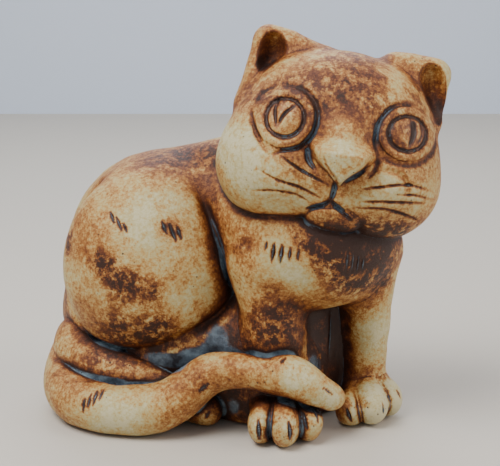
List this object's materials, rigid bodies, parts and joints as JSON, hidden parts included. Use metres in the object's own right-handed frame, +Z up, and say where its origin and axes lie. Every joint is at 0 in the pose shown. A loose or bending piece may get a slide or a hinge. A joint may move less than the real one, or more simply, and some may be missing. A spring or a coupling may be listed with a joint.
{
  "type": "ceramic cat figurine",
  "caption": "Seated ceramic cat figurine looking back over its flank, tail wrapped round its feet, hollow glazed clay with tooled whiskers and claws.",
  "frame": {"origin": "on the ground, under the middle of the figurine's bounding box", "axes": "+X from the rump to the chest, -Y out of the cat's right flank, which is the display side, +Z up"},
  "size_m": [0.143, 0.0866, 0.1364],
  "materials": {
    "body_glaze": "satin amber glaze over a cream ground, with iron-brown patches",
    "head_glaze": "satin brown glaze wiped back to cream on the high places",
    "pale_glaze": "satin cream glaze with brown specks",
    "dark_glaze": "satin dark brown glaze",
    "eye_glaze": "satin amber glaze",
    "pooled_glaze": "glossy blue-grey glaze pooled in the tooled lines",
    "bare_clay": "unglazed fired clay"
  },
  "bodies": {
    "root": {"body_shell": "body_glaze", "base_slab": "bare_clay", "head_shell": "head_glaze", "right_haunch": "body_glaze", "left_haunch": "body_glaze", "right_foreleg": "body_glaze", "left_foreleg": "body_glaze", "chest_panel": "dark_glaze", "right_front_paw": "pale_glaze", "left_front_paw": "pale_glaze", "right_hind_foot": "body_glaze", "left_hind_foot": "body_glaze", "tail": "body_glaze", "right_ear": "head_glaze", "left_ear": "head_glaze", "right_eyeball": "eye_glaze", "left_eyeball": "eye_glaze", "right_eyelid": "head_glaze", "left_eyelid": "head_glaze", "nose": "pale_glaze", "right_muzzle_pad": "pale_glaze", "left_muzzle_pad": "pale_glaze", "chin": "pale_glaze"}
  },
  "joints": []
}
